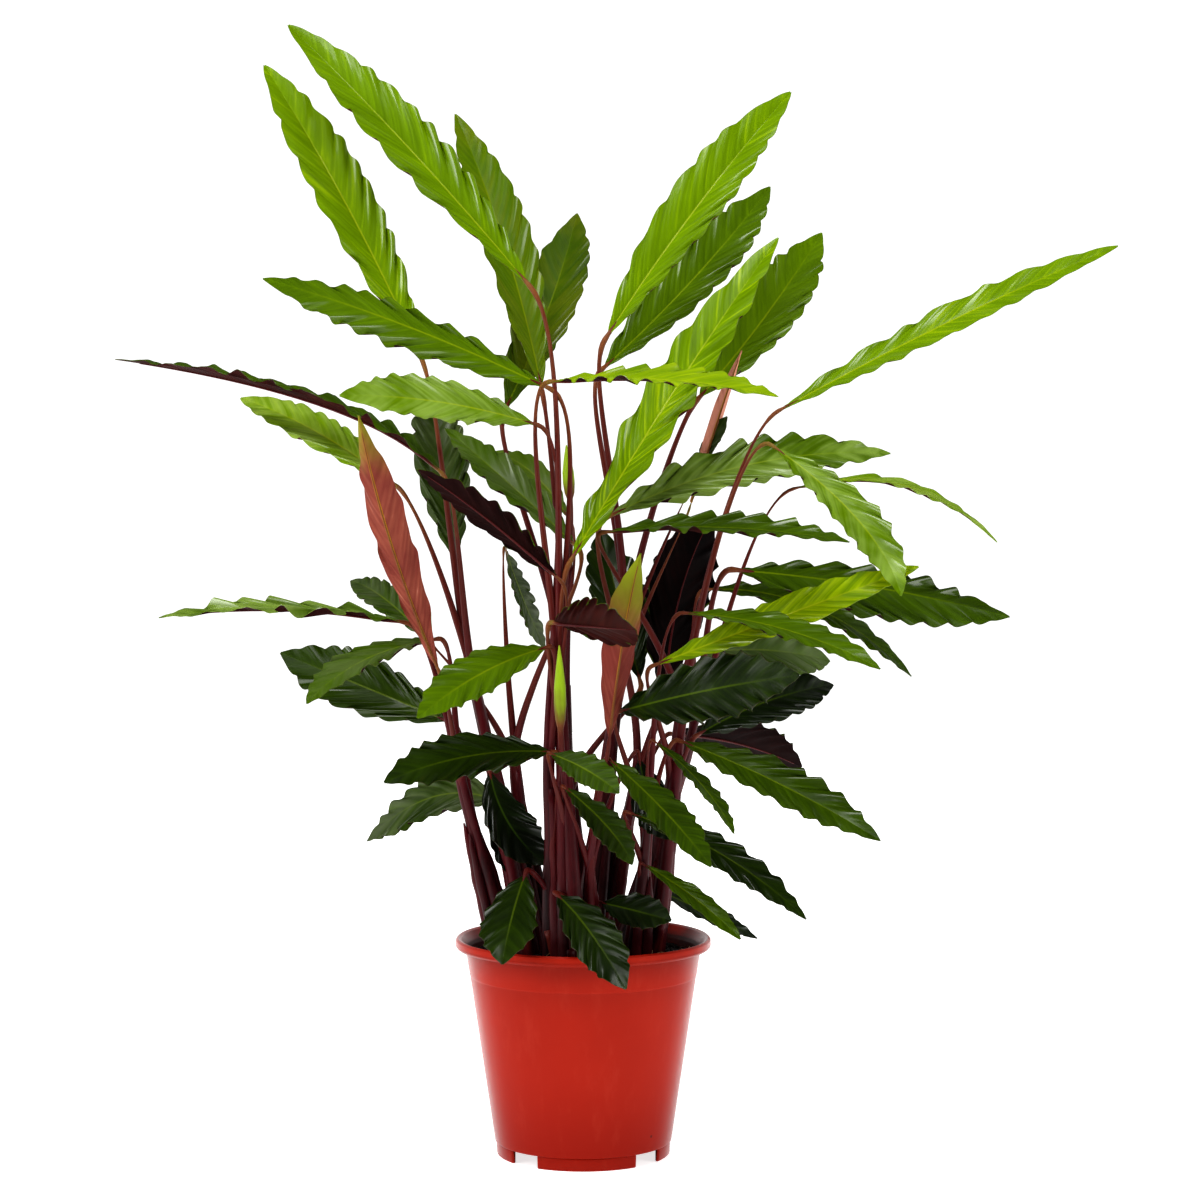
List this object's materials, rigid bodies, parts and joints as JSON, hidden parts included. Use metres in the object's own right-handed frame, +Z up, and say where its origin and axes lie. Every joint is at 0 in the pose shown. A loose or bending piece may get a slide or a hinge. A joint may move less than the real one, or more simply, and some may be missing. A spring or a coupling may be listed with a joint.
{
  "type": "potted calathea rufibarba",
  "caption": "Potted prayer plant: a bushy clump of long wavy-edged leaves with purple undersides on thin maroon stalks, in a round terracotta-coloured nursery pot.",
  "frame": {"origin": "on the floor, on the pot's axis, which is also the middle of the plant's spread", "axes": "+Z up along the pot's axis; the pictured side looks along -Y, with +X to its right"},
  "size_m": [0.8319, 0.4669, 0.9546],
  "materials": {
    "pot_plastic": "satin",
    "compost": "matte",
    "stalk": "satin",
    "leaf_lime": "satin",
    "leaf_fresh": "satin",
    "leaf_dark": "satin",
    "leaf_young": "satin"
  },
  "bodies": {
    "root": {"pot": "pot_plastic", "soil": "compost", "stalks_left": "stalk", "stalks_front": "stalk", "stalks_back": "stalk", "stalks_right": "stalk", "blade_a1": "leaf_young", "blade_a2": "leaf_fresh", "blade_a3": "leaf_dark", "blade_a4": "leaf_fresh", "blade_b1": "leaf_lime", "blade_b2": "leaf_dark", "blade_b3": "leaf_lime", "blade_b4": "leaf_dark", "blade_c1": "leaf_dark", "blade_c2": "leaf_dark", "blade_c3": "leaf_dark", "blade_c4": "leaf_dark", "blade_d1": "leaf_fresh", "blade_d2": "leaf_dark", "blade_d3": "leaf_dark", "blade_d4": "leaf_fresh", "blade_d5": "leaf_dark", "blade_e1": "leaf_lime", "blade_e2": "leaf_fresh", "blade_e3": "leaf_lime", "blade_e4": "leaf_fresh", "blade_e5": "leaf_dark", "blade_e6": "leaf_fresh", "blade_f1": "leaf_young", "blade_f2": "leaf_fresh", "blade_f3": "leaf_fresh", "blade_f4": "leaf_dark", "blade_f5": "leaf_dark", "blade_g1": "leaf_fresh", "blade_g2": "leaf_dark", "blade_g3": "leaf_dark", "blade_h1": "leaf_lime", "blade_h2": "leaf_fresh", "blade_h3": "leaf_dark", "blade_h4": "leaf_young", "blade_i1": "leaf_dark", "blade_i2": "leaf_dark", "blade_i3": "leaf_dark", "blade_i4": "leaf_dark", "blade_j1": "leaf_lime", "blade_j2": "leaf_fresh", "blade_j3": "leaf_fresh", "blade_j4": "leaf_lime", "blade_k1": "leaf_lime", "blade_k2": "leaf_dark", "blade_k3": "leaf_dark", "blade_k4": "leaf_dark", "blade_l1": "leaf_dark", "blade_l2": "leaf_fresh", "blade_l3": "leaf_dark", "blade_l4": "leaf_fresh", "blade_l5": "leaf_dark", "blade_l6": "leaf_lime", "blade_l7": "leaf_dark"}
  },
  "joints": []
}
